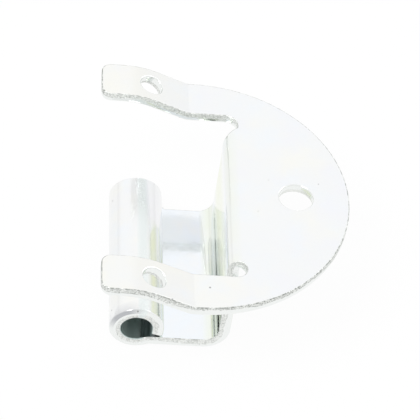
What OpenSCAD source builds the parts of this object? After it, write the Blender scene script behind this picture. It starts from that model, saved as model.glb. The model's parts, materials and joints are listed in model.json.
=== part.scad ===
// Dryer door hinge: one pressed steel sheet.
// A round-nosed plate ends in two screw arms, which step up towards their tips.
// The tab lanced from between the arms is folded down, turned back under them
// and rolled into a knuckle for the hinge pin.
// The origin is on the axis of the pin bore, midway between the two arms.
// +X runs from the knuckle to the nose of the plate, +Y along the pin, +Z up.

/* [Sheet] */
// Thickness of the sheet
sheet_t = 2.2; // [1.6:0.1:2.4]
// Overall drop from the top of the plate to the underside of the leaf
drop_h = 22.2; // [20:0.2:34]

/* [Plate] */
// Radius of the nose, which is half the width over the arms
nose_r = 29; // [27:0.5:36]
// Distance from the pin axis to the centre of the nose
nose_x = 10; // [8:0.5:12]
// Width of each arm
arm_w = 8.25; // [7:0.25:10]
// Radius of the window's rear corner
window_r = 2.3; // [1:0.1:2.6]
// Distance from the centre of the nose to the tips of the arms
tip_l = 18.5; // [17.5:0.5:26]
// Radius of the corners at the tips of the arms
tip_r = 1.9; // [0.5:0.1:3]

/* [Step in the arms] */
// Height of the step
step_h = 4; // [2:0.2:5]
// Distance of the crease from the centre of the nose
crease_l = 1; // [0:0.2:2]
// Slope of the step in degrees
step_a = 23; // [18:1:28]
// Inside radius of the crease
crease_r = 1.5; // [0.5:0.1:3]
// Inside radius of the easy bend at the top of the step
crest_r = 15.5; // [8:0.5:17]

/* [Holes] */
// Diameter of the fixing hole in the nose
fixing_d = 6.5; // [4:0.1:9]
// Distance from the centre of the nose to the fixing hole
fixing_x = 18.8; // [15:0.2:21]
// Diameter of the screw hole in each arm
screw_d = 4.4; // [3:0.1:5.5]
// Distance from the centre of the nose to the screw holes
screw_x = 8.6; // [8.2:0.2:9.4]

/* [Tab] */
// Distance from the pin axis to the near face of the wall
wall_x = 15.5; // [14:0.1:17]
// Inside radius of the fold under the plate
fold_r = 0.5; // [0.3:0.1:1]
// Inside radius of the bend from the wall to the leaf
foot_r = 2.8; // [1.5:0.1:4]
// Clearance between the front arm and the tab
tab_gap = 1.05; // [0.6:0.05:1.5]
// Clearance between the rear arm and the wall
wall_gap = 6.25; // [4:0.05:9]
// How far the rear edge of the leaf stands inside the wall's
leaf_trim = 0.7; // [0.3:0.1:1.5]
// Clearance between the rear arm and the tab where it meets the plate
flare_gap = 2.95; // [2.7:0.05:4]
// Radius of the relief hole at the front end of the fold
relief_r = 1.9; // [1.4:0.1:2.2]

/* [Knuckle] */
// Diameter of the pin bore
pin_d = 6; // [5:0.1:7]
// How far the bore reaches below the top of the leaf
pin_dip = 0.7; // [0.4:0.1:1]
// Inside radius of the easing bend where the leaf turns into the roll
ease_r = 1.5; // [1:0.1:3]
// How far the knuckle's rear end stands beyond the wall
knuckle_over = 0.4; // [0.2:0.1:1.5]
// Gap between the leaf and the outer corner of the rolled end
seam_gap = 0.15; // [0.1:0.05:0.4]
// Extra gap at the inner corner of the rolled end
seam_rise = 0.55; // [0.3:0.05:0.9]

/* [Hidden] */

// How far a cutting tool reaches past the face that it cuts
over = 1;
// How far the tab's sheet is carried on into the plate
lap = 2;
// Facets of a full circle on screen
$fn = 128;

// Heights, measured from the pin axis
pin_r = pin_d / 2;
roll_r = pin_r + sheet_t;
leaf_top = pin_dip - pin_r;
leaf_bottom = leaf_top - sheet_t;
plate_top = leaf_bottom + drop_h;
crown_top = plate_top + step_h;
full_h = crown_top + roll_r + 2 * over;
low_z = -roll_r - over;

// Places along X
tip_x = nose_x - tip_l;
crease_x = nose_x - crease_l;
nose_end = nose_x + nose_r;
screw_at = nose_x - screw_x;
fold_turn = fold_r + sheet_t;
fold_x = wall_x + fold_turn;
fold_z = plate_top - fold_turn;
foot_x = wall_x - foot_r;
foot_z = leaf_top + foot_r;
relief_x = fold_x - 0.68 * relief_r;
// Where the flare of the fold dies out, against the end of the bend
flare_end = 1.2;

// Places along Y
window_y = nose_r - arm_w;
arm_y = nose_r - arm_w / 2;
tab_front = -window_y + tab_gap;
wall_back = window_y - wall_gap;
flare_back = window_y - flare_gap;
leaf_back = wall_back - leaf_trim;
knuckle_back = wall_back + knuckle_over;
relief_y = -window_y + relief_r;

// The easing bend under the leaf touches the underside of the leaf and the roll
ease_c = [
    sqrt(pow(roll_r + ease_r, 2) - pow(ease_r - leaf_bottom, 2)),
    leaf_bottom - ease_r
];
ease_a = atan2(ease_c[0], -ease_c[1]);
// The rolled end points straight down at the leaf from the side of the bore
tail_l = -leaf_top - seam_gap;

// The step in the arms: a crease, a straight ramp and an easy crest
crest_turn = crest_r + sheet_t;
crest_w = crest_turn * sin(step_a);
ramp_h = step_h - (crease_r + crest_turn) * (1 - cos(step_a));
crest_x = crease_x - crease_r * sin(step_a) - ramp_h / tan(step_a) - crest_w;
crease_c = [crease_x, plate_top + crease_r];
crest_c = [crest_x, crown_top - crest_turn];
// Chords in one bend of the step
chords = 12;

// Slope and height of an arm's top face at a distance from the top of the step:
// first on the crest bend, then on the straight ramp
function arm_slope(d) = d < 0 ? 0 : d > crest_w ? step_a : asin(d / crest_turn);
function arm_drop(d) =
    crest_turn * (1 - cos(arm_slope(d))) + max(d - crest_w, 0) * tan(step_a);

// Points along an arc of radius r about c, from one angle to another
function arc(c, r, from, to) =
    [for (i = [0:chords]) c + r * [cos(from + (to - from) * i / chords),
                                   sin(from + (to - from) * i / chords)]];

// Carries a section drawn in X and Z along Y, from y0 to y1
module along_y(y0, y1) {
    translate([0, y1, 0]) rotate([90, 0, 0]) linear_extrude(y1 - y0) children();
}

// A quarter of a bend about the origin, in the quadrant that side names
module quarter_bend(r, side) {
    intersection() {
        difference() {
            circle(r + sheet_t);
            circle(r);
        }
        scale(side) square(r + sheet_t + over);
    }
}

// Section of the plate and an arm: flat, crease, ramp, crest and raised tip
module arm_section() {
    polygon(concat(
        [[nose_end, plate_top]],
        arc(crease_c, crease_r, -90, -90 - step_a),
        arc(crest_c, crest_turn, 90 - step_a, 90),
        [[tip_x, crown_top], [tip_x, crown_top - sheet_t]],
        arc(crest_c, crest_r, 90, 90 - step_a),
        arc(crease_c, crease_r + sheet_t, -90 - step_a, -90),
        [[nose_end, plate_top - sheet_t]]
    ));
}

// Fills the corner under the leaf with the easing bend. It stops just short of
// the roll and turns into it, so that the two overlap.
module ease_section() {
    rim = arc(ease_c, ease_r, 90, 90 + ease_a);
    roll_way = [sin(ease_a), -cos(ease_a)];
    polygon(concat(
        [for (i = [0:chords - 2]) rim[i]],
        [(roll_r - seam_gap) * roll_way, (pin_r + sheet_t / 2) * roll_way],
        [[ease_c[0], leaf_bottom + sheet_t / 2]]
    ));
}

// The space between the rolled end and the leaf, drawn with the corner of the
// bore that the rolled end leaves open
module seam_section() {
    polygon([
        [0, leaf_top], [roll_r + over, leaf_top], [roll_r + over, -tail_l],
        [roll_r, -tail_l], [pin_r, -tail_l + seam_rise], [pin_r, 0], [0, 0]
    ]);
}

// Section of the tab: fold, wall, foot bend, leaf, roll and rolled end
module tab_section() {
    difference() {
        union() {
            translate([fold_x, plate_top - sheet_t]) square([lap, sheet_t]);
            translate([fold_x, fold_z]) quarter_bend(fold_r, [-1, 1]);
            translate([wall_x, foot_z]) square([sheet_t, fold_z - foot_z]);
            translate([foot_x, foot_z]) quarter_bend(foot_r, [1, -1]);
            translate([0, leaf_bottom]) square([foot_x, sheet_t]);
            ease_section();
            circle(roll_r);
            translate([0, -tail_l]) square([roll_r, tail_l]);
        }
        circle(pin_r);
        seam_section();
    }
}

// The waste outside a rounded corner, drawn for a corner at the origin whose
// sides run along +X and +Y
module corner_waste(r) {
    difference() {
        translate([-over, -over]) square(r + over);
        translate([r, r]) circle(r);
    }
}

// Outline of the plate and its arms from above, before the window is cut
module plate_outline() {
    difference() {
        union() {
            translate([nose_x, 0]) circle(nose_r);
            translate([tip_x, -nose_r]) square([tip_l, 2 * nose_r]);
        }
        for (side = [-1, 1]) scale([1, side]) {
            translate([tip_x, nose_r]) mirror([0, 1]) corner_waste(tip_r);
            translate([tip_x, window_y]) corner_waste(tip_r);
        }
    }
}

// The window from above: its rear corner is round, and its front corner runs
// out into the relief hole
module window_outline() {
    difference() {
        union() {
            translate([tip_x - over, -window_y])
                square([relief_x - tip_x + over, 2 * window_y]);
            translate([tip_x, relief_y])
                square([fold_x - tip_x, window_y - relief_y]);
        }
        translate([fold_x, window_y]) rotate(180) corner_waste(window_r);
    }
    translate([relief_x, relief_y]) circle(relief_r);
}

// Outline of the tab from above: the leaf is a little narrower than the wall
// and the knuckle
module tab_outline() {
    polygon([
        [-roll_r - over, tab_front], [-roll_r - over, knuckle_back],
        [roll_r, knuckle_back], [roll_r + leaf_trim, leaf_back],
        [foot_x, leaf_back], [wall_x, wall_back],
        [fold_x + lap, wall_back], [fold_x + lap, tab_front]
    ]);
}

// The rear edge of the fold widens towards the plate. The cut is square to the
// sheet halfway round the fold, runs on into the plate and dies out in the wall.
module fold_flare() {
    reach = fold_turn * sin(45);
    taper = (flare_back - wall_back) / (reach + flare_end * reach);
    translate([fold_x, 0, fold_z])
        rotate([0, 135, 0])
            linear_extrude(4 * fold_turn, center = true)
                polygon([
                    [-2 * reach, flare_back + taper * reach],
                    [2 * reach, flare_back - 3 * taper * reach],
                    [2 * reach, 0], [-2 * reach, 0]
                ]);
}

// The plate with its two stepped arms
module plate_and_arms() {
    difference() {
        intersection() {
            along_y(-nose_r, nose_r) arm_section();
            translate([0, 0, low_z]) linear_extrude(full_h) plate_outline();
        }
        translate([0, 0, low_z]) linear_extrude(full_h) window_outline();
    }
}

// The relief hole's part in the tab, with a round bottom in the wall
module tab_relief() {
    translate([relief_x, relief_y, plate_top - sheet_t]) {
        cylinder(h = full_h, r = relief_r);
        sphere(relief_r);
    }
}

// The tab, cut to its outline and cleared round the relief hole
module tab() {
    difference() {
        intersection() {
            along_y(tab_front, window_y) tab_section();
            union() {
                translate([0, 0, low_z]) linear_extrude(full_h) tab_outline();
                fold_flare();
            }
        }
        tab_relief();
    }
}

// The fixing hole in the nose
module fixing_hole() {
    translate([nose_x + fixing_x, 0, plate_top - sheet_t - over])
        cylinder(h = sheet_t + 2 * over, d = fixing_d);
}

// The screw holes, square to the sloping face of each arm
module screw_holes() {
    from_crest = screw_at - crest_x;
    for (side = [-1, 1])
        translate([screw_at, side * arm_y, crown_top - arm_drop(from_crest)])
            rotate([0, arm_slope(from_crest), 0])
                translate([0, 0, -sheet_t - over])
                    cylinder(h = sheet_t + 2 * over, d = screw_d);
}

module hinge_plate() {
    color([0.86, 0.88, 0.88])
        difference() {
            union() {
                plate_and_arms();
                tab();
            }
            fixing_hole();
            screw_holes();
        }
}

hinge_plate();
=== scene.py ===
"""Dryer door hinge: the looks of one pressed steel sheet.

The sheet is drawn as the flat blank that leaves the press, with its sheared
edges, and is then folded along the same bends as the solid: the step in the
two arms, and the tab's fold, foot, leaf and rolled knuckle.
"""

import json
import math

import bpy
import numpy as np
from mathutils import Matrix, Vector
from mathutils.geometry import delaunay_2d_cdt


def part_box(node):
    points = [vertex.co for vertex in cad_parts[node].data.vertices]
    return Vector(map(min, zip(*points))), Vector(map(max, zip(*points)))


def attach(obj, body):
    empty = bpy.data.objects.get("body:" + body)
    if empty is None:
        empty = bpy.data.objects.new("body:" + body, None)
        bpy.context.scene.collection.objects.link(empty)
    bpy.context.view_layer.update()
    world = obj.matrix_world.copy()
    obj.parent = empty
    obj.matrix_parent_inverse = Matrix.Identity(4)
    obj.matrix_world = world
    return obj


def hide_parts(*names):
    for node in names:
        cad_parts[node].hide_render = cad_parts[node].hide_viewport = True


bl_info = {
    "name": "Dryer Door Hinge",
    "version": (1, 0, 0),
    "blender": (4, 5, 0),
    "location": "View3D > Sidebar > Hinge",
    "description": "Makes a pressed and rolled hinge plate and its studio",
    "category": "Add Mesh",
}

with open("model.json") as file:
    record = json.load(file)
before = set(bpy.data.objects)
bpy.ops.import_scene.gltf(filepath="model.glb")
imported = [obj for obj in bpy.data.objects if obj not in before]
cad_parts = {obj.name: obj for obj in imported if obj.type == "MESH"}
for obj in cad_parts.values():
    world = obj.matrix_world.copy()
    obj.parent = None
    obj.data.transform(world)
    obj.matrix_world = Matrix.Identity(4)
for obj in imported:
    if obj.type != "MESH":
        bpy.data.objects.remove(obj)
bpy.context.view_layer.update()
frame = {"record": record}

NODE = "hinge_plate"
BODY = "root"
MM = 0.001


# The frame

def mount(name):
    """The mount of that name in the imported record."""
    return next(m for m in frame["record"]["mounts"] if m["name"] == name)


def mount_at(name):
    """Where a mount is, in metres."""
    return Vector(mount(name)["pos_m"])


def mount_radius(name):
    """The radius of a hole or bore, in metres."""
    return mount(name)["dims"]["r_mm"] * MM


LOW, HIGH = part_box(NODE)
PLATE_TOP = mount_at("plate_face").z
SHEET_T = PLATE_TOP - mount_at("plate_back").z
HALF_WIDTH = HIGH.y
PIN_R = mount_radius("pin_bore")
ARM_TIP_X = LOW.x


# Sizes

def length(name, description, default):
    """A length in metres that a user may change."""
    return bpy.props.FloatProperty(
        name=name, description=description, default=default, min=0.0,
        precision=5, subtype="DISTANCE", unit="LENGTH")


def share(name, description, default, top=1.0):
    """A plain share or strength."""
    return bpy.props.FloatProperty(
        name=name, description=description, default=default,
        min=0.0, max=top, subtype="FACTOR")


def colour(name, description, default):
    """A colour of a finish."""
    return bpy.props.FloatVectorProperty(
        name=name, description=description, default=default,
        size=3, min=0.0, max=1.0, subtype="COLOR")


class HingeSizes(bpy.types.PropertyGroup):
    """Sizes of the blank and its bends. What the frame gives isn't here."""

    nose_centre: length(
        "Nose centre", "Distance from the pin axis to the nose's centre", 0.010)
    arm_width: length("Arm width", "Width of each arm", 0.00825)
    window_corner: length(
        "Window corner", "Radius of the window's rear corner", 0.0023)
    tip_corner: length("Tip corner", "Radius at the tips of the arms", 0.0019)
    crease_offset: length(
        "Crease", "Distance of the crease from the nose's centre", 0.001)
    step_slope: bpy.props.FloatProperty(
        name="Step slope", description="Slope of the step in the arms",
        default=math.radians(23.0), subtype="ANGLE", unit="ROTATION")
    crease_radius: length(
        "Crease radius", "Inside radius of the crease", 0.0015)
    crest_radius: length(
        "Crest radius", "Inside radius at the top of the step", 0.0155)
    wall_near: length(
        "Wall", "Distance from the pin axis to the wall's near face", 0.0155)
    fold_radius: length(
        "Fold radius", "Inside radius of the fold under the plate", 0.0005)
    foot_radius: length(
        "Foot radius", "Inside radius from the wall to the leaf", 0.0028)
    tab_gap: length("Tab gap", "Clearance between the front arm and the tab", 0.00105)
    wall_gap: length(
        "Wall gap", "Clearance between the rear arm and the wall", 0.00625)
    leaf_trim: length(
        "Leaf trim", "How far the leaf's rear edge stands inside the wall's", 0.0007)
    flare_gap: length(
        "Flare gap", "Clearance of the rear arm where the tab leaves the plate",
        0.00295)
    relief_radius: length(
        "Relief radius", "Radius of the relief hole at the fold", 0.0019)
    relief_depth: length(
        "Relief depth", "How far the relief hole runs down into the wall", 0.0014)
    pin_dip: length(
        "Pin dip", "How far the bore reaches below the leaf's top", 0.0007)
    ease_radius: length(
        "Easing radius", "Inside radius where the leaf turns into the roll", 0.0015)
    knuckle_over: length(
        "Knuckle over", "How far the knuckle stands beyond the wall", 0.0004)
    seam_gap: length(
        "Seam gap", "Gap under the outer corner of the rolled end", 0.00015)
    seam_rise: length(
        "Seam rise", "Extra gap at the inner corner of the rolled end", 0.00055)
    burr: length("Burr edge", "Rounding of the edge on the face side", 0.00025)
    roll_in: length("Sheared edge width", "Width of the rounded sheared edge", 0.00045)
    roll_depth: length("Sheared edge depth", "Depth of the rounded sheared edge", 0.0008)
    edge_rough: length(
        "Torn edge", "How rough the torn band of a sheared edge is", 0.00004)


class HingeFinish(bpy.types.PropertyGroup):
    """Colours and shares of the zinc plating, with painted shade in the bore and along
    the edges and painted reflections on the knuckle.
    """

    zinc: colour("Zinc", "Colour of the bright plating", (0.90, 0.911, 0.916))
    # The blue and yellow tints also carry the warm and cool drift over the arms and the
    # tab, which is partly painted reflection
    cool: colour("Blue tint", "Blue tint of the passivated film", (0.87, 0.915, 0.965))
    warm: colour("Yellow tint", "Yellow tint of the passivated film",
                 (0.94, 0.93, 0.86))
    lilac: colour("Lilac tint", "Lilac tint of the passivated film",
                  (0.885, 0.885, 0.94))
    strained: colour("Strained film", "Tint of the film on the tight bends",
                     (0.84, 0.875, 0.67))
    burnished: colour("Burnished edge", "Colour of the smooth band of a sheared edge",
                      (0.88, 0.90, 0.885))
    torn: colour("Torn edge", "Colour of the torn band of a sheared edge",
                 (0.87, 0.885, 0.86))
    # Painted shade: this dark colour of the pits also draws the lines along the edges,
    # standing for shade there as well as for the press's marks
    pit_and_edge_shade: colour("Pits", "Colour of the pits in the torn band", (0.20, 0.22, 0.20))
    # Painted shade: the dark teal of the bore stands for the shade inside it, as well as
    # for the thin plating there
    dull_and_painted_light: colour("Dull bore", "Colour of the thin plating in the pin's bore",
                 (0.62, 0.71, 0.69))
    # Painted reflection: the knuckle tint colours a pale teal reflection band along the
    # roll's turn
    knuckle: colour("Knuckle", "Satin tint of the plating round the knuckle",
                    (0.83, 0.885, 0.88))
    # Painted reflection: grey for the dark reflection on the knuckle's rounded shoulder
    painted_dark_reflection: colour("Scuffs", "Colour of the scuffed shoulder of the knuckle",
                  (0.50, 0.51, 0.53))
    speck: colour("Specks", "Colour of small dark specks", (0.10, 0.10, 0.09))
    roughness: share("Roughness", "Roughness of the plating", 0.085)
    tint: share("Tint", "Strength of the passivated film's tints", 0.5)


class StudioSettings(bpy.types.PropertyGroup):
    """Camera and light of the studio."""

    aim: bpy.props.FloatVectorProperty(
        name="Aim", description="Point that the camera looks at", size=3,
        default=(0.012542, -0.002625, 0.015603), precision=6,
        subtype="TRANSLATION", unit="LENGTH")
    azimuth: bpy.props.FloatProperty(
        name="Azimuth", description="Turn of the camera about Z",
        default=math.radians(-8.623), subtype="ANGLE", unit="ROTATION")
    elevation: bpy.props.FloatProperty(
        name="Elevation", description="Height of the camera over the plate",
        default=math.radians(46.562), subtype="ANGLE", unit="ROTATION")
    roll: bpy.props.FloatProperty(
        name="Roll", description="Roll of the camera, clockwise",
        default=math.radians(9.735), subtype="ANGLE", unit="ROTATION")
    distance: length("Distance", "From the camera to the aim", 0.48413)
    lens: bpy.props.FloatProperty(
        name="Lens", description="Focal length of the lens in millimetres",
        default=219.93, min=10.0, unit="CAMERA")
    key: bpy.props.FloatProperty(
        name="Key light", description="Power of the key light",
        default=1.8, min=0.0, unit="POWER")
    fill: bpy.props.FloatProperty(
        name="Fill light", description="Power of the fill light",
        default=0.5, min=0.0, unit="POWER")
    sky: share("Sky", "Strength of the room's light", 0.85, 4.0)


# Fold lines

class FoldLine:
    """A strip of the sheet, followed along its face from where it leaves the
    plate. Steps are (turn, length) pairs: a straight one has no turn and a
    length, and a bend has a turn in radians, towards the back of the sheet
    where it is positive, and an inside radius. Lengths along a bend are
    measured in the middle of the sheet."""

    def __init__(self, start_x, steps, tail_slant=0.0):
        self.start_x = start_x
        self.tail_slant = tail_slant
        self.steps = []
        at, heading, begin = np.array([start_x, PLATE_TOP]), math.pi, 0.0
        for turn, size in steps:
            run = size if turn == 0 else (size + SHEET_T / 2) * abs(turn)
            self.steps.append((begin, run, turn, size, at, heading))
            if turn == 0:
                at = at + size * unit(heading)
            else:
                centre, radius = self.bend_centre(turn, size, at, heading)
                at = centre + (at - centre) @ turned(turn)
                heading += turn
            begin += run
        self.total = begin

    @staticmethod
    def bend_centre(turn, size, at, heading):
        """Centre of a bend and the radius of its face side."""
        back = unit(heading + math.pi / 2)
        if turn > 0:
            return at + (size + SHEET_T) * back, size + SHEET_T
        return at - size * back, size

    def begins(self, step):
        """Place on the blank, along X, where a step begins."""
        return self.start_x - self.steps[step][0]

    def place(self, s, h):
        """Folds points of the blank. Returns X and Z, the direction along
        the strip, the direction to the sheet's back, and the stretch."""
        u = self.start_x - s
        last = self.steps[-1]
        down = np.clip((u - last[0]) / last[1], 0.0, 1.0)
        u = u - self.tail_slant * (1 - h / SHEET_T) * down
        starts = np.array([step[0] for step in self.steps])
        which = np.clip(np.searchsorted(starts, u, side="right") - 1, 0, None)
        xz, along = np.zeros((len(s), 2)), np.zeros((len(s), 2))
        back, stretch = np.zeros((len(s), 2)), np.ones(len(s))
        for i, (begin, run, turn, size, at, heading) in enumerate(self.steps):
            mine = which == i
            if not mine.any():
                continue
            v, depth = u[mine] - begin, h[mine]
            angle = np.full(len(v), heading)
            if turn == 0:
                d, b = unit(heading), unit(heading + math.pi / 2)
                xz[mine] = at + v[:, None] * d + depth[:, None] * b
            else:
                centre, radius = self.bend_centre(turn, size, at, heading)
                side = math.copysign(1.0, turn)
                angle = angle + side * v / (size + SHEET_T / 2)
                b = np.stack([-np.sin(angle), np.cos(angle)], 1)
                reach = radius - side * depth
                xz[mine] = centre - side * reach[:, None] * b
                stretch[mine] = reach / (size + SHEET_T / 2)
            along[mine] = np.stack([np.cos(angle), np.sin(angle)], 1)
            back[mine] = np.stack([-np.sin(angle), np.cos(angle)], 1)
        return xz, along, back, stretch


def unit(angle):
    """Unit vector at an angle, in X and Z."""
    return np.array([math.cos(angle), math.sin(angle)])


def turned(angle):
    """Matrix that turns row vectors by an angle."""
    c, s = math.cos(angle), math.sin(angle)
    return np.array([[c, s], [-s, c]])


def arm_line(z):
    """The step in an arm: crease, ramp, crest and raised tip."""
    rise = HIGH.z - PLATE_TOP
    a = z.step_slope
    crest_turn = z.crest_radius + SHEET_T
    ramp_rise = rise - (z.crease_radius + crest_turn) * (1 - math.cos(a))
    crease_x = z.nose_centre - z.crease_offset
    crest_x = (crease_x - (z.crease_radius + crest_turn) * math.sin(a)
               - ramp_rise / math.tan(a))
    return FoldLine(crease_x, [
        (-a, z.crease_radius),
        (0, ramp_rise / math.sin(a)),
        (a, z.crest_radius),
        (0, crest_x - ARM_TIP_X),
    ])


def tab_line(z):
    """The tab: fold, wall, foot, leaf, easing bend, roll and rolled end."""
    leaf_top = z.pin_dip - PIN_R
    leaf_bottom = leaf_top - SHEET_T
    roll_r = PIN_R + SHEET_T
    fold_x = z.wall_near + z.fold_radius + SHEET_T
    fold_z = PLATE_TOP - z.fold_radius - SHEET_T
    ease_x = math.sqrt((roll_r + z.ease_radius) ** 2
                       - (z.ease_radius - leaf_bottom) ** 2)
    ease_a = math.atan2(ease_x, z.ease_radius - leaf_bottom)
    return FoldLine(fold_x, [
        (math.pi / 2, z.fold_radius),
        (0, fold_z - leaf_top - z.foot_radius),
        (-math.pi / 2, z.foot_radius),
        (0, z.wall_near - z.foot_radius - ease_x),
        (ease_a, z.ease_radius),
        (-1.5 * math.pi - ease_a, PIN_R),
        (0, -leaf_top - z.seam_gap),
    ], tail_slant=z.seam_rise)


FOLD, WALL, FOOT, LEAF, EASE, ROLL, TAIL = range(7)


# The outline

ARC_STEP = 0.0005


# Angle round the relief hole that its corner with the tab's edge takes up
RELIEF_LEAD = 32.0


def ellipse(centre, radii):
    """The point of an ellipse at an angle, as a function."""
    return lambda a: (centre[0] + radii[0] * math.cos(a),
                      centre[1] + radii[1] * math.sin(a))


def arc(centre, radii, start, end, step=ARC_STEP):
    """Points along an arc of a circle or an ellipse."""
    count = max(6, math.ceil(abs(end - start) * max(radii) / step))
    return [ellipse(centre, radii)(a) for a in np.linspace(start, end, count + 1)]


def rounded(before, corner, after, radius):
    """Points round a corner between two straight edges."""
    p, c, q = (np.array(point, float) for point in (before, corner, after))
    to_p, to_q = p - c, q - c
    to_p /= np.linalg.norm(to_p)
    to_q /= np.linalg.norm(to_q)
    half = math.acos(np.clip(to_p @ to_q, -1, 1)) / 2
    run = radius / math.tan(half)
    middle = (to_p + to_q) / np.linalg.norm(to_p + to_q)
    centre = c + middle * radius / math.sin(half)
    first, last = c + to_p * run, c + to_q * run
    a0 = math.atan2(*(first - centre)[::-1])
    a1 = math.atan2(*(last - centre)[::-1])
    a1 = a0 + (a1 - a0 + math.pi) % (2 * math.pi) - math.pi
    return arc(centre, (radius, radius), a0, a1, radius / 5)


def path(corners):
    """An open run of edges through (x, y, radius) corners. The two ends are
    left out, because the stretches on either side bring them."""
    points = []
    for before, corner, after in zip(corners, corners[1:], corners[2:]):
        points += rounded(before[:2], corner[:2], after[:2], corner[2])
    return points


def blank_outline(z, arm, tab):
    """Outline of the flat blank, anticlockwise, from the start of the nose."""
    window = HALF_WIDTH - z.arm_width
    tip = arm.start_x - arm.total
    end = tab.start_x - tab.total
    fold = tab.start_x
    wall_back = window - z.wall_gap
    leaf_back = wall_back - z.leaf_trim
    knuckle = wall_back + z.knuckle_over
    front = z.tab_gap - window
    roll_r = PIN_R + SHEET_T
    leaf_end = tab.begins(EASE)
    ease_x = tab.steps[EASE][4][0]
    knuckle_at = leaf_end + roll_r - ease_x
    nose = (z.nose_centre, 0.0)
    small = z.roll_in * 1.25

    relief = (fold - 0.68 * z.relief_radius, z.relief_radius - window)
    down = relief[0] - (tab.begins(WALL) - z.relief_depth)
    round_relief = ellipse(relief, (down, z.relief_radius))
    meets = math.pi + math.asin((relief[1] - front) / z.relief_radius)
    begins = meets - math.radians(RELIEF_LEAD)

    points = arc(nose, (HALF_WIDTH, HALF_WIDTH), -math.pi / 2, math.pi / 2)
    points += path([
        (nose[0], HALF_WIDTH, 0),
        (tip, HALF_WIDTH, z.tip_corner),
        (tip, window, z.tip_corner),
        (fold, window, z.window_corner),
        (fold, window - z.flare_gap, small),
        (tab.begins(WALL) - small, wall_back, z.window_corner),
        (tab.begins(FOOT), wall_back, z.window_corner),
        (tab.begins(LEAF), leaf_back, z.window_corner),
        (knuckle_at + z.leaf_trim, leaf_back, small),
        (knuckle_at, knuckle, small),
        (end, knuckle, small),
        (end, front, small),
        (round_relief(meets)[0], front, small),
        (*round_relief(begins), 0),
    ])
    points += arc(relief, (down, z.relief_radius), begins, math.pi / 2)
    points += arc(relief, (z.relief_radius, z.relief_radius),
                  math.pi / 2, -math.pi / 2)[1:]
    points += path([
        (relief[0], -window, 0),
        (tip, -window, z.tip_corner),
        (tip, -HALF_WIDTH, z.tip_corner),
        (nose[0], -HALF_WIDTH, 0),
    ])
    return points


def hole_outline(centre, radius):
    """A round hole, clockwise, so that the sheet lies on its left."""
    return arc(centre, (radius, radius), 0, -2 * math.pi)[:-1]


def bend_rows(line, angle_step):
    """Places along X of the rows that follow the bends of a strip."""
    rows = []
    for begin, run, turn, *_ in line.steps:
        count = max(1, math.ceil(abs(turn) / angle_step)) if turn else 1
        rows += [line.start_x - begin - run * k / count for k in range(count)]
    return rows + [line.start_x - line.total]


def with_rows(loop, rows_for, spacing):
    """Adds points to a closed loop where the rows cross it, and so that no
    edge is longer than the spacing."""
    result = []
    for p, q in zip(loop, loop[1:] + loop[:1]):
        p, q = np.array(p), np.array(q)
        gap = np.linalg.norm(q - p)
        count = max(1, math.ceil(gap / spacing))
        cuts = {k / count for k in range(count)}
        rows = rows_for((p + q) / 2)
        if abs(q[0] - p[0]) > ARC_STEP / 50:
            cuts |= {(row - p[0]) / (q[0] - p[0]) for row in rows}
        cuts = sorted(t for t in cuts if 0 <= t < 1)
        kept = [cuts[0]]
        for t in cuts[1:]:
            if (t - kept[-1]) * gap > ARC_STEP / 25 and (1 - t) * gap > ARC_STEP / 25:
                kept.append(t)
        result += [tuple(p + t * (q - p)) for t in kept]
    return result


def outward(loop):
    """Mitred outward normals of a loop that keeps the sheet on its left."""
    p = np.array(loop)
    ahead = np.roll(p, -1, 0) - p
    ahead /= np.linalg.norm(ahead, axis=1)[:, None]
    behind = np.roll(ahead, 1, 0)
    n1 = np.stack([ahead[:, 1], -ahead[:, 0]], 1)
    n0 = np.stack([behind[:, 1], -behind[:, 0]], 1)
    middle = n0 + n1
    middle /= np.linalg.norm(middle, axis=1)[:, None]
    cosine = np.clip((middle * n1).sum(1), 0.5, 1.0)
    return middle, 1.0 / cosine


# The blank

CELL = 0.0018
EDGE_CELL = 0.0003
CLEAR = 0.0007
BEND_STEP = math.radians(6.0)
ROUND_STEPS = 4
COOL_RUN = 0.012
WALL_ROWS = 9
TORN_SHARE = 0.42


def inside(points, loops):
    """Which points lie on the sheet, by counting the edges beside each."""
    x, y = points[:, 0][:, None], points[:, 1][:, None]
    odd = np.zeros(len(points), bool)
    for loop in loops:
        ahead = np.roll(loop, -1, 0)
        spans = (loop[:, 1] > y) != (ahead[:, 1] > y)
        rise = np.where(ahead[:, 1] == loop[:, 1], 1.0, ahead[:, 1] - loop[:, 1])
        at = loop[:, 0] + (y - loop[:, 1]) * (ahead[:, 0] - loop[:, 0]) / rise
        odd ^= (spans & (x < at)).sum(1) % 2 == 1
    return odd


def clear_of(points, loops, gap):
    """Which points keep a gap to every point of the loops."""
    edge = np.concatenate(loops)
    far = np.ones(len(points), bool)
    for i, point in enumerate(points):
        far[i] = ((edge - point) ** 2).sum(1).min() > gap * gap
    return far


def row_grid(rows, y_from, y_to):
    """Rows of points across a strip, with the row edges that join them."""
    count = max(2, round((y_to - y_from) / CELL))
    columns = np.linspace(y_from, y_to, count + 1)
    return [[(row, y) for y in columns] for row in rows]


def filled(rows, spacing):
    """Adds rows, so that no two are further apart than the spacing."""
    rows = sorted(rows, reverse=True)
    result = []
    for a, b in zip(rows, rows[1:]):
        count = max(1, math.ceil((a - b) / spacing))
        result += [a + (b - a) * k / count for k in range(count)]
    return result + [rows[-1]]

# How strained the film is at each tight bend of the tab
BEND_STRAIN = ((FOLD, 0.25), (WALL, 1.0), (FOOT, 0.5))
# The roll: its warmth, partly painted reflection, how matt it is, and the duller band
# along its turn, which is tinted teal as a painted reflection band
ROLL_TONE = -0.15
ROLL_DULL = 0.2
BAND_DULL, BAND_TURN, BAND_WIDTH = 0.2, 0.73, 0.022
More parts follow.
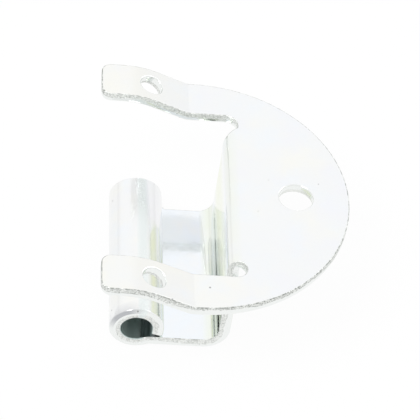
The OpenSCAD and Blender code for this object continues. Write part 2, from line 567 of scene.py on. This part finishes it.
# The painted dark reflection on the knuckle's rounded shoulder, where it mirrors the
# shaded underside of the front arm: where along the turn, and its reach in y
DARK_REFLECTION_TURN, DARK_REFLECTION_SLOPE, DARK_REFLECTION_REACH = 0.56, 9, 0.0004
# Strength of the dark edge lines: the press's marks, and painted shade along the edges
# and at the foot of the hole walls. Below 0 the hole is punched from the other side
INNER_EDGE_DARKNESS = 0.6
SCREW_HOLE_EDGE_DARKNESS, FIXING_HOLE_EDGE_DARKNESS, WIDE_HOLE = -0.6, -0.12, 0.005
ROOT_REACH, WINDOW_REACH = 0.006, 0.0003




class Blank:
    """The flat blank: its outline, its holes and the strips that fold."""

    def __init__(self, sizes):
        self.sizes = sizes
        self.arm, self.tab = arm_line(sizes), tab_line(sizes)
        self.window = HALF_WIDTH - sizes.arm_width
        self.arm_rows = bend_rows(self.arm, BEND_STEP / 2)
        self.tab_rows = bend_rows(self.tab, BEND_STEP)
        loops = [blank_outline(sizes, self.arm, self.tab)]
        nose_hole = mount_at("fixing_hole")
        loops.append(hole_outline((nose_hole.x, 0.0), mount_radius("fixing_hole")))
        for name in ("front_screw_hole", "back_screw_hole"):
            at = (self.screw_place(name), mount_at(name).y)
            loops.append(hole_outline(at, mount_radius(name)))
        self.loops = [np.array(with_rows(loop, self.rows_at, EDGE_CELL))
                      for loop in loops]

    def screw_place(self, name):
        """Where a screw hole lies along the blank, found on the crest bend."""
        axis = mount(name)["axis"]
        slope = math.atan2(axis[0], axis[2])
        begin, run, *_ = self.arm.steps[2]
        on_crest = run - slope * (self.sizes.crest_radius + SHEET_T / 2)
        return self.arm.start_x - begin - on_crest

    def strips(self, s, y):
        """Masks of the points on the arms and on the tab."""
        gap = self.sizes.tab_gap / 2
        on_arm = (abs(y) > self.window - gap) & (s < self.arm.start_x)
        tab_back = self.window - self.sizes.flare_gap + self.sizes.burr
        on_tab = (s < self.tab.start_x) & (y > gap - self.window) & (y < tab_back)
        return on_arm, on_tab

    def rows_at(self, point):
        """The bend rows that cross the blank near a point."""
        on_arm, on_tab = self.strips(point[0], point[1])
        return self.arm_rows if on_arm else self.tab_rows if on_tab else []

    def grid(self):
        """Rows of points inside the sheet, in lists that follow each row."""
        z = self.sizes
        front = z.tab_gap - self.window
        rows = row_grid(filled(self.tab_rows, CELL), front + CLEAR,
                        self.window - z.flare_gap)
        for side in (-1, 1):
            edges = sorted((side * (self.window + CLEAR), side * (HALF_WIDTH - CLEAR)))
            rows += row_grid(filled(self.arm_rows, CELL), *edges)
        plate = np.arange(self.tab.start_x + CELL, HIGH.x, CELL)
        rows += row_grid(plate, -HALF_WIDTH, HALF_WIDTH)
        roots = np.arange(self.arm.start_x + CELL, self.tab.start_x, CELL)
        for side in (-1, 1):
            edges = sorted((side * (self.window - z.flare_gap + CLEAR),
                            side * HALF_WIDTH))
            rows += row_grid(roots, *edges)
        flat = np.array([point for row in rows for point in row])
        kept = inside(flat, self.loops) & clear_of(flat, self.loops, CLEAR)
        before = np.roll(flat, 1, 0)
        joined = np.all([clear_of(before + (flat - before) * t, self.loops,
                                  CLEAR * 0.8) for t in (0.2, 0.4, 0.6, 0.8)], 0)
        result, start = [], 0
        for row in rows:
            run = []
            for i, point in enumerate(row, start):
                if run and not (kept[i] and joined[i]):
                    result.append(run)
                    run = []
                if kept[i]:
                    run.append(point)
            if run:
                result.append(run)
            start += len(row)
        return result

    def fold(self, blank, normal):
        """Folds points and normals of the blank into their real places."""
        s, y, h = blank.T
        xz = np.stack([s, PLATE_TOP - h], 1)
        along = np.tile(unit(math.pi), (len(s), 1))
        back = np.tile(unit(1.5 * math.pi), (len(s), 1))
        stretch = np.ones(len(s))
        for line, mine in zip((self.arm, self.tab), self.strips(s, y)):
            xz[mine], along[mine], back[mine], stretch[mine] = line.place(
                s[mine], h[mine])
        ahead = -normal[:, 0:1] / stretch[:, None]
        turned_xz = ahead * along + normal[:, 2:3] * back
        points = np.stack([xz[:, 0], y, xz[:, 1]], 1)
        normals = np.stack([turned_xz[:, 0], normal[:, 1], turned_xz[:, 1]], 1)
        return points, normals / np.linalg.norm(normals, axis=1)[:, None]

    def edge_marks_and_shade(self, loop):
        """How dark the edge lines are, which are the press's marks and painted
        shade along the edges: full along the outline, and less along the tab and the
        arms' inner edges. Less than 0 in the round holes, which are punched from the
        other side."""
        s, y = np.array(loop).T
        if loop is not self.loops[0]:
            wide = np.ptp(y) > WIDE_HOLE
            return np.full(len(loop), FIXING_HOLE_EDGE_DARKNESS if wide else SCREW_HOLE_EDGE_DARKNESS)
        inner = ((s < self.tab.start_x + ROOT_REACH)
                 & (abs(y) < self.window + WINDOW_REACH))
        return np.where(inner, INNER_EDGE_DARKNESS, 1.0)

    def tone(self, blank):
        """How the tint drifts: warmer towards the arms' tips, cooler down the tab,
        partly the film's own drift and partly painted reflection. Also how far each
        point is strained by a tight bend; how matt it is, which is most inside the
        bore and less round the knuckle, and which also paints the bore's shade and a
        reflection band along the roll's turn; and where the knuckle's shoulder gets a
        painted dark reflection."""
        s, y, h = blank.T
        on_arm, on_tab = self.strips(s, y)
        # Warmer towards the arms' tips and cooler down the tab: partly the film's drift,
        # partly painted reflection
        warmth = np.where(on_arm, (self.arm.start_x - s) / self.arm.total, 0.0)
        cool = np.where(on_tab, (self.tab.start_x - s) / COOL_RUN, 0.0)
        strain = np.zeros(len(s))
        for step, most in BEND_STRAIN:
            begin, run, *_ = self.tab.steps[step]
            v = (self.tab.start_x - s - begin) / run
            strain += np.where(on_tab & (v > 0) & (v < 1), most * np.sin(np.pi * v), 0)
        rolled = on_tab & (s < self.tab.start_x - self.tab.steps[ROLL][0])
        cool = np.where(rolled, ROLL_TONE, np.clip(cool, 0, 1))
        begin, run, *_ = self.tab.steps[ROLL]
        turn = (self.tab.start_x - s - begin) / run
        dull_and_painted_light = ROLL_DULL + BAND_DULL * np.clip(
            2 - abs(turn - BAND_TURN) / BAND_WIDTH, 0, 1)
        # Full dullness on the bore's face, which also paints its shade
        dull_and_painted_light = np.where(rolled, np.where(h < SHEET_T / 20, 1.0, dull_and_painted_light), 0.0)
        front = self.sizes.tab_gap - self.window
        # Painted dark reflection on the outer shoulder of the roll, near its front end
        painted_dark_reflection = np.where(
            rolled, np.clip(1.6 - abs(turn - DARK_REFLECTION_TURN) * DARK_REFLECTION_SLOPE, 0, 1), 0.0)
        painted_dark_reflection *= np.clip(1.5 - (y - front) / DARK_REFLECTION_REACH, 0, 1) * (h > 0.6 * SHEET_T)
        return cool - np.clip(warmth, 0, 1), strain, dull_and_painted_light, painted_dark_reflection


def edge_profile(z):
    """Section of a sheared edge, from the face to the back of the sheet: the
    offset from the outline, the depth, the normal and how far it is a cut."""
    rows = []
    for k in range(ROUND_STEPS + 1):
        a = math.pi / 2 * k / ROUND_STEPS
        rows.append((z.burr * (1 - math.sin(a)), z.burr * (1 - math.cos(a)),
                     math.sin(a), -math.cos(a), math.sin(a)))
    for k in range(1, WALL_ROWS):
        depth = z.burr + (SHEET_T - z.burr - z.roll_depth) * k / WALL_ROWS
        rows.append((0.0, depth, 1.0, 0.0, 1.0))
    for k in range(2 * ROUND_STEPS + 1):
        a = math.pi / 2 * k / (2 * ROUND_STEPS)
        out, back = math.cos(a) / z.roll_in, math.sin(a) / z.roll_depth
        size = math.hypot(out, back)
        rows.append((z.roll_in * (1 - math.cos(a)),
                     SHEET_T - z.roll_depth * (1 - math.sin(a)),
                     out / size, back / size, math.cos(a) ** 2))
    return np.array(rows)


def torn_offsets(profile, count, z, rng):
    """How far each point of a wall lies inside its plain place: the band that
    tore in the press is a little rough and stands back."""
    depth = profile[:, 1][:, None] / SHEET_T
    torn = np.clip((TORN_SHARE - depth) * 8, 0, 1) * (profile[:, 4][:, None] > 0.99)
    rough = rng.random((len(profile), count))
    soft = (rough + np.roll(rough, 1, 1) + np.roll(rough, -1, 1)) / 3
    return z.edge_rough * torn * (0.4 + 1.2 * soft)


def wall_points(loop, profile, z, rng):
    """Points, normals and cut shares of one sheared wall, row by row."""
    normal, mitre = outward(loop)
    tangent = np.stack([-normal[:, 1], normal[:, 0]], 1)
    spacing = np.linalg.norm(np.roll(loop, -1, 0) - np.roll(loop, 1, 0), axis=1)
    torn = torn_offsets(profile, len(loop), z, rng)
    slope = (np.roll(torn, -1, 1) - np.roll(torn, 1, 1)) / spacing
    fall = np.gradient(torn, profile[:, 1], axis=0)
    points, normals, shares = [], [], []
    for k, (offset, depth, out, back, cut) in enumerate(profile):
        flat = loop - normal * ((offset + torn[k]) * mitre)[:, None]
        points.append(np.column_stack([flat, np.full(len(loop), depth)]))
        level = out * normal + slope[k][:, None] * tangent
        normals.append(np.column_stack([level, back + fall[k] * (cut > 0.99)]))
        shares.append(np.full(len(loop), cut))
    return points, normals, shares


def cap_triangles(rings, grid_rows, first_grid):
    """Triangles across one face of the blank. Rings are (points, first index)
    pairs, and the grid's points follow from first_grid."""
    points, edges, index = [], [], []
    for ring, first in rings:
        start, count = len(points), len(ring)
        points += [tuple(p) for p in ring]
        index += range(first, first + count)
        edges += [(start + i, start + (i + 1) % count) for i in range(count)]
    for row in grid_rows:
        start = len(points)
        points += row
        edges += [(start + i, start + i + 1) for i in range(len(row) - 1)]
    index += range(first_grid, first_grid + sum(len(row) for row in grid_rows))
    flat = np.array(points)
    found = delaunay_2d_cdt([Vector(p) for p in flat / MM], edges, [], 1, 1e-7)
    if len(found[0]) != len(points):
        raise RuntimeError("the blank's outline crosses itself")
    origin = [ids[0] for ids in found[3]]
    triangles = np.array([[origin[v] for v in face] for face in found[2]])
    middle = flat[triangles].mean(1)
    triangles = triangles[inside(middle, [ring for ring, _ in rings])]
    return np.array(index)[triangles]


def sheet_mesh(sizes, name):
    """The whole folded sheet as one closed mesh."""
    blank = Blank(sizes)
    profile = edge_profile(sizes)
    rng = np.random.default_rng(11)
    points, normals, cuts, edge_marks_and_shade, faces = [], [], [], [], []
    total = 0
    face_rings, back_rings = [], []
    for loop in blank.loops:
        rows, row_normals, shares = wall_points(loop, profile, sizes, rng)
        n = len(loop)
        edge_marks_and_shade.append(np.tile(blank.edge_marks_and_shade(loop), len(rows)))
        face_rings.append((rows[0][:, :2], total))
        back_rings.append((rows[-1][:, :2], total + n * (len(rows) - 1)))
        for k in range(len(rows) - 1):
            a, b = total + k * n, total + (k + 1) * n
            faces += [(a + i, b + i, b + (i + 1) % n, a + (i + 1) % n)
                      for i in range(n)]
        points += rows
        normals += row_normals
        cuts += shares
        total += n * len(rows)
    grid_rows = blank.grid()
    grid = np.array([point for row in grid_rows for point in row])
    for depth, facing, rings in ((0.0, -1.0, face_rings), (SHEET_T, 1.0, back_rings)):
        count = len(grid)
        triangles = cap_triangles(rings, grid_rows, total)
        if facing > 0:
            triangles = triangles[:, ::-1]
        faces += [tuple(face) for face in triangles.tolist()]
        points.append(np.column_stack([grid, np.full(count, depth)]))
        normals.append(np.tile([0.0, 0.0, facing], (count, 1)))
        cuts.append(np.zeros(count))
        edge_marks_and_shade.append(np.zeros(count))
        total += count
    flat = np.concatenate(points)
    placed, turned_normals = blank.fold(flat, np.concatenate(normals))
    mesh = bpy.data.meshes.new(name)
    mesh.from_pydata(placed.tolist(), [], faces)
    if mesh.validate():
        raise RuntimeError("the sheet's mesh has faulty faces")
    mesh.shade_smooth()
    mesh.normals_split_custom_set_from_vertices(turned_normals.tolist())
    laid = mesh.attributes.new("blank", "FLOAT_VECTOR", "POINT")
    laid.data.foreach_set("vector", flat.astype(np.float32).ravel())
    tone, strain, dull_and_painted_light, painted_dark_reflection = blank.tone(flat)
    for label, values in (("cut", np.concatenate(cuts)), ("tone", tone),
                          ("strain", strain), ("dull_and_painted_light", dull_and_painted_light), ("painted_dark_reflection", painted_dark_reflection),
                          ("edge_marks_and_shade", np.concatenate(edge_marks_and_shade))):
        attribute = mesh.attributes.new(label, "FLOAT", "POINT")
        attribute.data.foreach_set("value", values.astype(np.float32))
    return mesh


# The finish

class Nodes:
    """Adds shader nodes to a tree in short calls."""

    def __init__(self, tree):
        self.tree = tree
        tree.nodes.clear()

    def add(self, kind, *sockets, out=0, **options):
        """Adds a node. Sockets are (input, value or output) pairs, and the
        chosen output is returned."""
        node = self.tree.nodes.new(kind)
        for key, value in options.items():
            setattr(node, key, value)
        for key, value in sockets:
            if isinstance(value, bpy.types.NodeSocket):
                self.tree.links.new(value, node.inputs[key])
            else:
                node.inputs[key].default_value = value
        return node.outputs[out]

    def math(self, operation, a, b=0.0, clamp=False):
        return self.add("ShaderNodeMath", (0, a), (1, b),
                        operation=operation, use_clamp=clamp)

    def fma(self, a, b, c):
        """a times b plus c."""
        return self.add("ShaderNodeMath", (0, a), (1, b), (2, c),
                        operation="MULTIPLY_ADD")

    def mix(self, share_of, a, b):
        """Mixes two colours."""
        return self.add("ShaderNodeMix", (0, share_of), (6, a), (7, b), out=2,
                        data_type="RGBA")

    def band(self, value, low, high, to_low=0.0, to_high=1.0):
        """Maps a value between two limits, smoothly."""
        return self.add("ShaderNodeMapRange", ("Value", value), ("From Min", low),
                        ("From Max", high), ("To Min", to_low), ("To Max", to_high),
                        interpolation_type="SMOOTHSTEP")

    def noise(self, vector, scale, detail=2.0, roughness=0.5, distortion=0.0, out=0):
        return self.add("ShaderNodeTexNoise", ("Vector", vector), ("Scale", scale),
                        ("Detail", detail), ("Roughness", roughness),
                        ("Distortion", distortion), out=out)

    def laid(self, vector, scale=(1, 1, 1), turn=0.0, shift=(0, 0, 0)):
        """Turns and stretches texture space."""
        return self.add("ShaderNodeMapping", ("Vector", vector), ("Scale", scale),
                        ("Rotation", (0, 0, turn)), ("Location", shift))


def rgba(value):
    return (*value, 1.0)


def film_colour(n, finish, place):
    """Colour of the plating's thin passivated film, with drifting tints; the warm and
    cool drift over the arms and the tab is partly painted reflection.
    """
    tone = n.add("ShaderNodeAttribute", attribute_name="tone", out=2)
    strain = n.add("ShaderNodeAttribute", attribute_name="strain", out=2)
    base = rgba(finish.zinc)
    for tint, scale, shift in ((finish.lilac, 120.0, 0.0), (finish.warm, 85.0, 0.7),
                               (finish.cool, 160.0, 1.9)):
        patch = n.noise(n.laid(place, shift=(shift, 0, 0)), scale, 4.0, 0.6)
        base = n.mix(n.band(patch, 0.45, 0.75, 0.0, finish.tint), base, rgba(tint))
    # Partly painted reflection: the tone attribute tints the arms warmer and the tab
    # cooler
    wander = n.band(n.noise(place, 210.0, 3.0), 0.3, 0.7, 0.25, 0.85)
    base = n.mix(n.math("MULTIPLY", n.math("MAXIMUM", tone, 0.0), wander),
                 base, rgba(finish.cool))
    base = n.mix(n.math("MULTIPLY", n.math("MAXIMUM", n.math("MULTIPLY", tone, -1.0),
                                           0.0), wander), base, rgba(finish.warm))
    full = n.math("ADD", wander, 0.3, True)
    return n.mix(n.math("MULTIPLY", strain, full), base, rgba(finish.strained))


class Edge:
    """Masks of a sheared edge: the torn band next to the sheet's face, the
    pits in it, and the ragged dark lines along the burr and where the tear began,
    which also stand for painted shade along the edges."""

    def __init__(self, n, blank):
        cut = n.add("ShaderNodeAttribute", attribute_name="cut", out=2)
        self.cut = n.band(cut, 0.0, 0.4)
        edge_marks_and_shade = n.add("ShaderNodeAttribute", attribute_name="edge_marks_and_shade", out=2)
        depth = n.math("DIVIDE", n.add("ShaderNodeSeparateXYZ", (0, blank), out=2),
                       SHEET_T)
        punched = n.math("LESS_THAN", edge_marks_and_shade, 0.0)
        other = n.fma(depth, -2.0, 1.0)
        depth = n.math("ADD", depth, n.math("MULTIPLY", punched, other))
        edge_marks_and_shade = n.math("ABSOLUTE", edge_marks_and_shade)
        self.grain = n.noise(blank, 1500.0, 3.0, 0.65)
        ragged = n.fma(self.grain, 0.30, -0.15)
        waves = n.fma(n.noise(n.laid(blank, (1, 1, 0.01)), 90.0), 0.9, -0.45)
        line = n.math("ADD", n.math("ADD", depth, ragged), waves)
        self.torn = n.band(line, TORN_SHARE - 0.04, TORN_SHARE + 0.04, 1.0, 0.0)
        pitted = n.band(n.noise(blank, 4600.0, 3.0, 0.6), 0.49, 0.58, 0.0, 0.85)
        self.pits = n.math("MULTIPLY", self.torn, pitted)
        start = n.band(n.math("ABSOLUTE", n.math("SUBTRACT", line, TORN_SHARE)),
                       0.0, 0.06, 0.75, 0.0)
        broken = n.band(n.noise(blank, 1300.0, 3.0, 0.6), 0.46, 0.56)
        nicks = n.band(n.noise(blank, 170.0, 1.0), 0.64, 0.70, 0.0, 0.25)
        burr = n.band(n.math("SUBTRACT", depth, nicks), 0.03, 0.12, 1.0, 0.0)
        # Partly painted shade: dark lines along the burr and where the tear began
        lines = n.math("MULTIPLY", n.math("MAXIMUM", start, burr), broken)
        self.dark = n.math("MULTIPLY", n.math("MAXIMUM", self.pits, lines), edge_marks_and_shade)


def scratch_mask(n, blank):
    """Long fine scratches in two directions."""
    lines = []
    for turn, seed in ((0.9, 0.0), (-0.35, 0.3)):
        streak = n.noise(n.laid(blank, (2200.0, 60.0, 60.0), turn, (seed, 0, 0)),
                         1.0, 2.0, 0.6)
        sparse = n.band(n.noise(n.laid(blank, turn=turn, shift=(seed, 0, 0)), 160.0),
                        0.52, 0.62)
        lines.append(n.math("MULTIPLY", n.band(streak, 0.68, 0.74), sparse))
    return n.math("MAXIMUM", *lines)


def speck_mask(n, place):
    """Small specks, one in a dozen cells of a sprinkled pattern."""
    cells = n.add("ShaderNodeTexVoronoi", ("Vector", place), ("Scale", 420.0))
    chosen = n.band(n.add("ShaderNodeSeparateColor",
                          (0, cells.node.outputs["Color"])), 0.90, 0.91)
    return n.math("MULTIPLY", chosen, n.band(cells, 0.05, 0.11, 1.0, 0.0))


def zinc_material(finish):
    """Bright zinc on pressed steel: a thin passivated film with faint tints,
    fine grain, scratches and specks, and sheared edges, with painted shade in the bore
    and along the edges and painted reflections on the knuckle."""
    material = bpy.data.materials.new("zinc_plate")
    material.use_nodes = True
    n = Nodes(material.node_tree)
    place = n.add("ShaderNodeTexCoord", out=3)
    blank = n.add("ShaderNodeAttribute", attribute_name="blank", out=1)
    edge, scratches = Edge(n, blank), scratch_mask(n, blank)
    specks = speck_mask(n, place)

    base = film_colour(n, finish, place)
    wall = n.mix(edge.torn, rgba(finish.burnished), rgba(finish.torn))
    # Painted shade in part: the dark lines and pits along the cut walls
    wall = n.mix(n.math("MULTIPLY", edge.dark, 0.8), wall, rgba(finish.pit_and_edge_shade))
    base = n.mix(edge.cut, base, wall)
    dull_and_painted_light = n.add("ShaderNodeAttribute", attribute_name="dull_and_painted_light", out=2)
    # Painted reflection: a teal band along the roll's turn, where the dullness lies
    # between 0.2 and 0.4
    base = n.mix(n.band(dull_and_painted_light, 0.2, 0.4, 0.0, 0.8), base, rgba(finish.knuckle))
    # Painted shade: the inside of the bore is darkened to dark teal, along with its thin
    # plating
    base = n.mix(n.band(dull_and_painted_light, 0.5, 1.0), base, rgba(finish.dull_and_painted_light))
    # Painted reflection: the knuckle's rounded shoulder is greyed where it mirrors the
    # shaded underside of the front arm
    painted_dark_reflection = n.add("ShaderNodeAttribute", attribute_name="painted_dark_reflection", out=2)
    base = n.mix(painted_dark_reflection, base, rgba(finish.painted_dark_reflection))
    base = n.mix(n.math("MULTIPLY", specks, 0.55), base, rgba(finish.speck))

    # Roughness: cloudy plating, a duller torn band and brighter scratches
    cloud = n.noise(place, 320.0, 4.0, 0.6)
    rough = n.band(cloud, 0.3, 0.7, finish.roughness - 0.04, finish.roughness + 0.05)
    torn_cut = n.math("MULTIPLY", edge.torn, edge.cut)
    rough = n.fma(torn_cut, 0.34, rough)
    rough = n.fma(dull_and_painted_light, 0.40, rough)
    rough = n.math("SUBTRACT", rough, n.math("MULTIPLY", scratches, 0.08), True)

    # Relief: rolled grain, pimples of the plating, scratches, torn metal
    grain = n.noise(n.laid(blank, (0.25, 1, 1)), 5200.0, 2.0, 0.6)
    height = n.math("MULTIPLY", n.noise(place, 900.0, 3.0, 0.5), 0.7)
    height = n.fma(grain, 0.30, height)
    height = n.fma(scratches, -0.8, height)
    height = n.fma(specks, -1.5, height)
    height = n.fma(n.math("MULTIPLY", torn_cut, edge.grain), 6.0, height)
    height = n.fma(n.math("MULTIPLY", edge.cut, edge.dark), -4.0, height)
    bump = n.add("ShaderNodeBump", ("Height", height), ("Strength", 0.5),
                 ("Distance", 0.00001))

    shader = n.add("ShaderNodeBsdfPrincipled", ("Base Color", base),
                   ("Metallic", 1.0), ("Roughness", rough), ("Normal", bump))
    n.tree.links.new(shader, n.tree.nodes.new("ShaderNodeOutputMaterial").inputs[0])
    return material


# The studio

FLOOR_SIZE = 6.0
FLOOR_DROP = 0.00005
FLOOR_GLOW = 0.94
# The room is darker on the side where one stands to look at the work
DARK_SIDE = (-0.1, -0.7, 0.7)
DARK_SHARE = 0.90
# and a little darker beyond the plate's nose
ASIDE_SHARE = 0.96
ROOM_FOOT, ROOM_TOP = 0.90, 1.04


def floor_material():
    """A pale floor that keeps the hinge's shadow, and is clear from below."""
    material = bpy.data.materials.new("studio_floor")
    material.use_nodes = True
    n = Nodes(material.node_tree)
    diffuse = n.add("ShaderNodeBsdfDiffuse", ("Color", (0.93, 0.93, 0.93, 1.0)))
    glow = n.add("ShaderNodeEmission", ("Color", (1.0, 1.0, 1.0, 1.0)),
                 ("Strength", 1.0))
    path_node = n.add("ShaderNodeLightPath").node
    seen = n.math("MAXIMUM", path_node.outputs["Is Camera Ray"],
                  path_node.outputs["Is Glossy Ray"])
    seen = n.math("MAXIMUM", seen, path_node.outputs["Is Transmission Ray"])
    mixed = n.add("ShaderNodeMixShader", (0, n.math("MULTIPLY", seen, FLOOR_GLOW)),
                  (1, diffuse), (2, glow))
    behind = n.add("ShaderNodeNewGeometry").node.outputs["Backfacing"]
    shown = n.add("ShaderNodeMixShader", (0, behind), (1, mixed),
                  (2, n.add("ShaderNodeBsdfTransparent")))
    n.tree.links.new(shown, n.tree.nodes.new("ShaderNodeOutputMaterial").inputs[0])
    return material


def studio_world(sky):
    """Soft even light, seen as a white room by the camera and the metal."""
    world = bpy.data.worlds.new("studio")
    world.use_nodes = True
    n = Nodes(world.node_tree)
    path_node = n.add("ShaderNodeLightPath").node
    way = n.add("ShaderNodeTexCoord", out=0)
    up = n.add("ShaderNodeSeparateXYZ", (0, way), out=2)
    toward = n.add("ShaderNodeVectorMath", (0, way), (1, DARK_SIDE), out=1,
                   operation="DOT_PRODUCT")
    room = n.band(up, -0.1, 0.3, ROOM_FOOT, ROOM_TOP)
    dark = n.band(toward, 0.62, 0.97, 1.0, DARK_SHARE)
    aside = n.add("ShaderNodeSeparateXYZ", (0, way))
    dark = n.math("MULTIPLY", dark, n.band(aside, 0.12, 0.35, 1.0, ASIDE_SHARE))
    seen = n.math("MULTIPLY", room, dark)
    strength = n.fma(path_node.outputs["Is Glossy Ray"],
                     n.math("SUBTRACT", seen, sky), sky)
    strength = n.math("MAXIMUM", strength, path_node.outputs["Is Camera Ray"])
    shown = n.add("ShaderNodeBackground", ("Color", (1.0, 1.0, 1.0, 1.0)),
                  ("Strength", strength))
    n.tree.links.new(shown, n.tree.nodes.new("ShaderNodeOutputWorld").inputs[0])
    return world


def area_light(name, place, target, size, power):
    """A square soft light that points at a target."""
    data = bpy.data.lights.new(name, "AREA")
    data.shape, data.size, data.energy = "SQUARE", size, power
    light = bpy.data.objects.new(name, data)
    light.location = place
    light.rotation_euler = (Vector(target) - Vector(place)).to_track_quat(
        "-Z", "Y").to_euler()
    bpy.context.scene.collection.objects.link(light)
    return light


def studio_camera(studio):
    """The camera, at the photograph's angle."""
    a, e, r = studio.azimuth, studio.elevation, studio.roll
    back = Vector((math.sin(a) * math.cos(e), -math.cos(a) * math.cos(e), math.sin(e)))
    right = Vector((math.cos(a), math.sin(a), 0.0))
    up = back.cross(right)
    across = math.cos(r) * right + math.sin(r) * up
    above = math.cos(r) * up - math.sin(r) * right
    data = bpy.data.cameras.new("camera")
    data.lens, data.sensor_width = studio.lens, 36.0
    data.clip_start, data.clip_end = 0.01, 20.0
    camera = bpy.data.objects.new("camera", data)
    place = Matrix((across, above, back)).transposed().to_4x4()
    place.translation = Vector(studio.aim) + back * studio.distance
    camera.matrix_world = place
    bpy.context.scene.collection.objects.link(camera)
    bpy.context.scene.camera = camera
    return camera


# Operators

class HINGE_OT_plate(bpy.types.Operator):
    """Folds the zinc plated sheet of the hinge"""

    bl_idname = "hinge.plate"
    bl_label = "Make the hinge plate"

    def execute(self, context):
        scene = context.scene
        mesh = sheet_mesh(scene.hinge_sizes, "folded_hinge_plate")
        piece = bpy.data.objects.new("folded_hinge_plate", mesh)
        scene.collection.objects.link(piece)
        mesh.materials.append(zinc_material(scene.hinge_finish))
        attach(piece, BODY)
        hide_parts(NODE)
        return {"FINISHED"}


class HINGE_OT_studio(bpy.types.Operator):
    """Lays the floor and sets up the light and the camera"""

    bl_idname = "hinge.studio"
    bl_label = "Make the studio"

    def execute(self, context):
        studio = context.scene.hinge_studio
        mesh = bpy.data.meshes.new("studio_floor")
        half, z = FLOOR_SIZE / 2, LOW.z - FLOOR_DROP
        mesh.from_pydata([(-half, -half, z), (half, -half, z), (half, half, z),
                          (-half, half, z)], [], [(0, 1, 2, 3)])
        mesh.materials.append(floor_material())
        floor = bpy.data.objects.new("studio_floor", mesh)
        context.scene.collection.objects.link(floor)
        context.scene.world = studio_world(studio.sky)
        aim = Vector(studio.aim)
        area_light("key_light", aim + Vector((-0.35, -0.25, 0.65)), aim, 0.35,
                   studio.key)
        area_light("fill_light", aim + Vector((0.5, 0.2, 0.45)), aim, 0.4,
                   studio.fill)
        studio_camera(studio)
        context.scene.view_settings.view_transform = "Standard"
        return {"FINISHED"}


class HINGE_PT_panel(bpy.types.Panel):
    """Lists what can be made and the sizes that can be changed"""

    bl_idname = "HINGE_PT_panel"
    bl_label = "Dryer Door Hinge"
    bl_space_type = "VIEW_3D"
    bl_region_type = "UI"
    bl_category = "Hinge"

    def draw(self, context):
        layout = self.layout
        for operator in (HINGE_OT_plate, HINGE_OT_studio):
            layout.operator(operator.bl_idname)
        for group in ("hinge_sizes", "hinge_finish", "hinge_studio"):
            settings = getattr(context.scene, group)
            box = layout.box()
            for name in settings.__annotations__:
                box.prop(settings, name)


CLASSES = (HingeSizes, HingeFinish, StudioSettings, HINGE_OT_plate,
           HINGE_OT_studio, HINGE_PT_panel)
GROUPS = {"hinge_sizes": HingeSizes, "hinge_finish": HingeFinish,
          "hinge_studio": StudioSettings}


def register():
    for cls in CLASSES:
        bpy.utils.register_class(cls)
    for name, group in GROUPS.items():
        setattr(bpy.types.Scene, name, bpy.props.PointerProperty(type=group))


def unregister():
    for name in GROUPS:
        delattr(bpy.types.Scene, name)
    for cls in reversed(CLASSES):
        bpy.utils.unregister_class(cls)


def main():
    register()
    bpy.ops.hinge.plate()
    bpy.ops.hinge.studio()


if __name__ == "__main__":
    main()
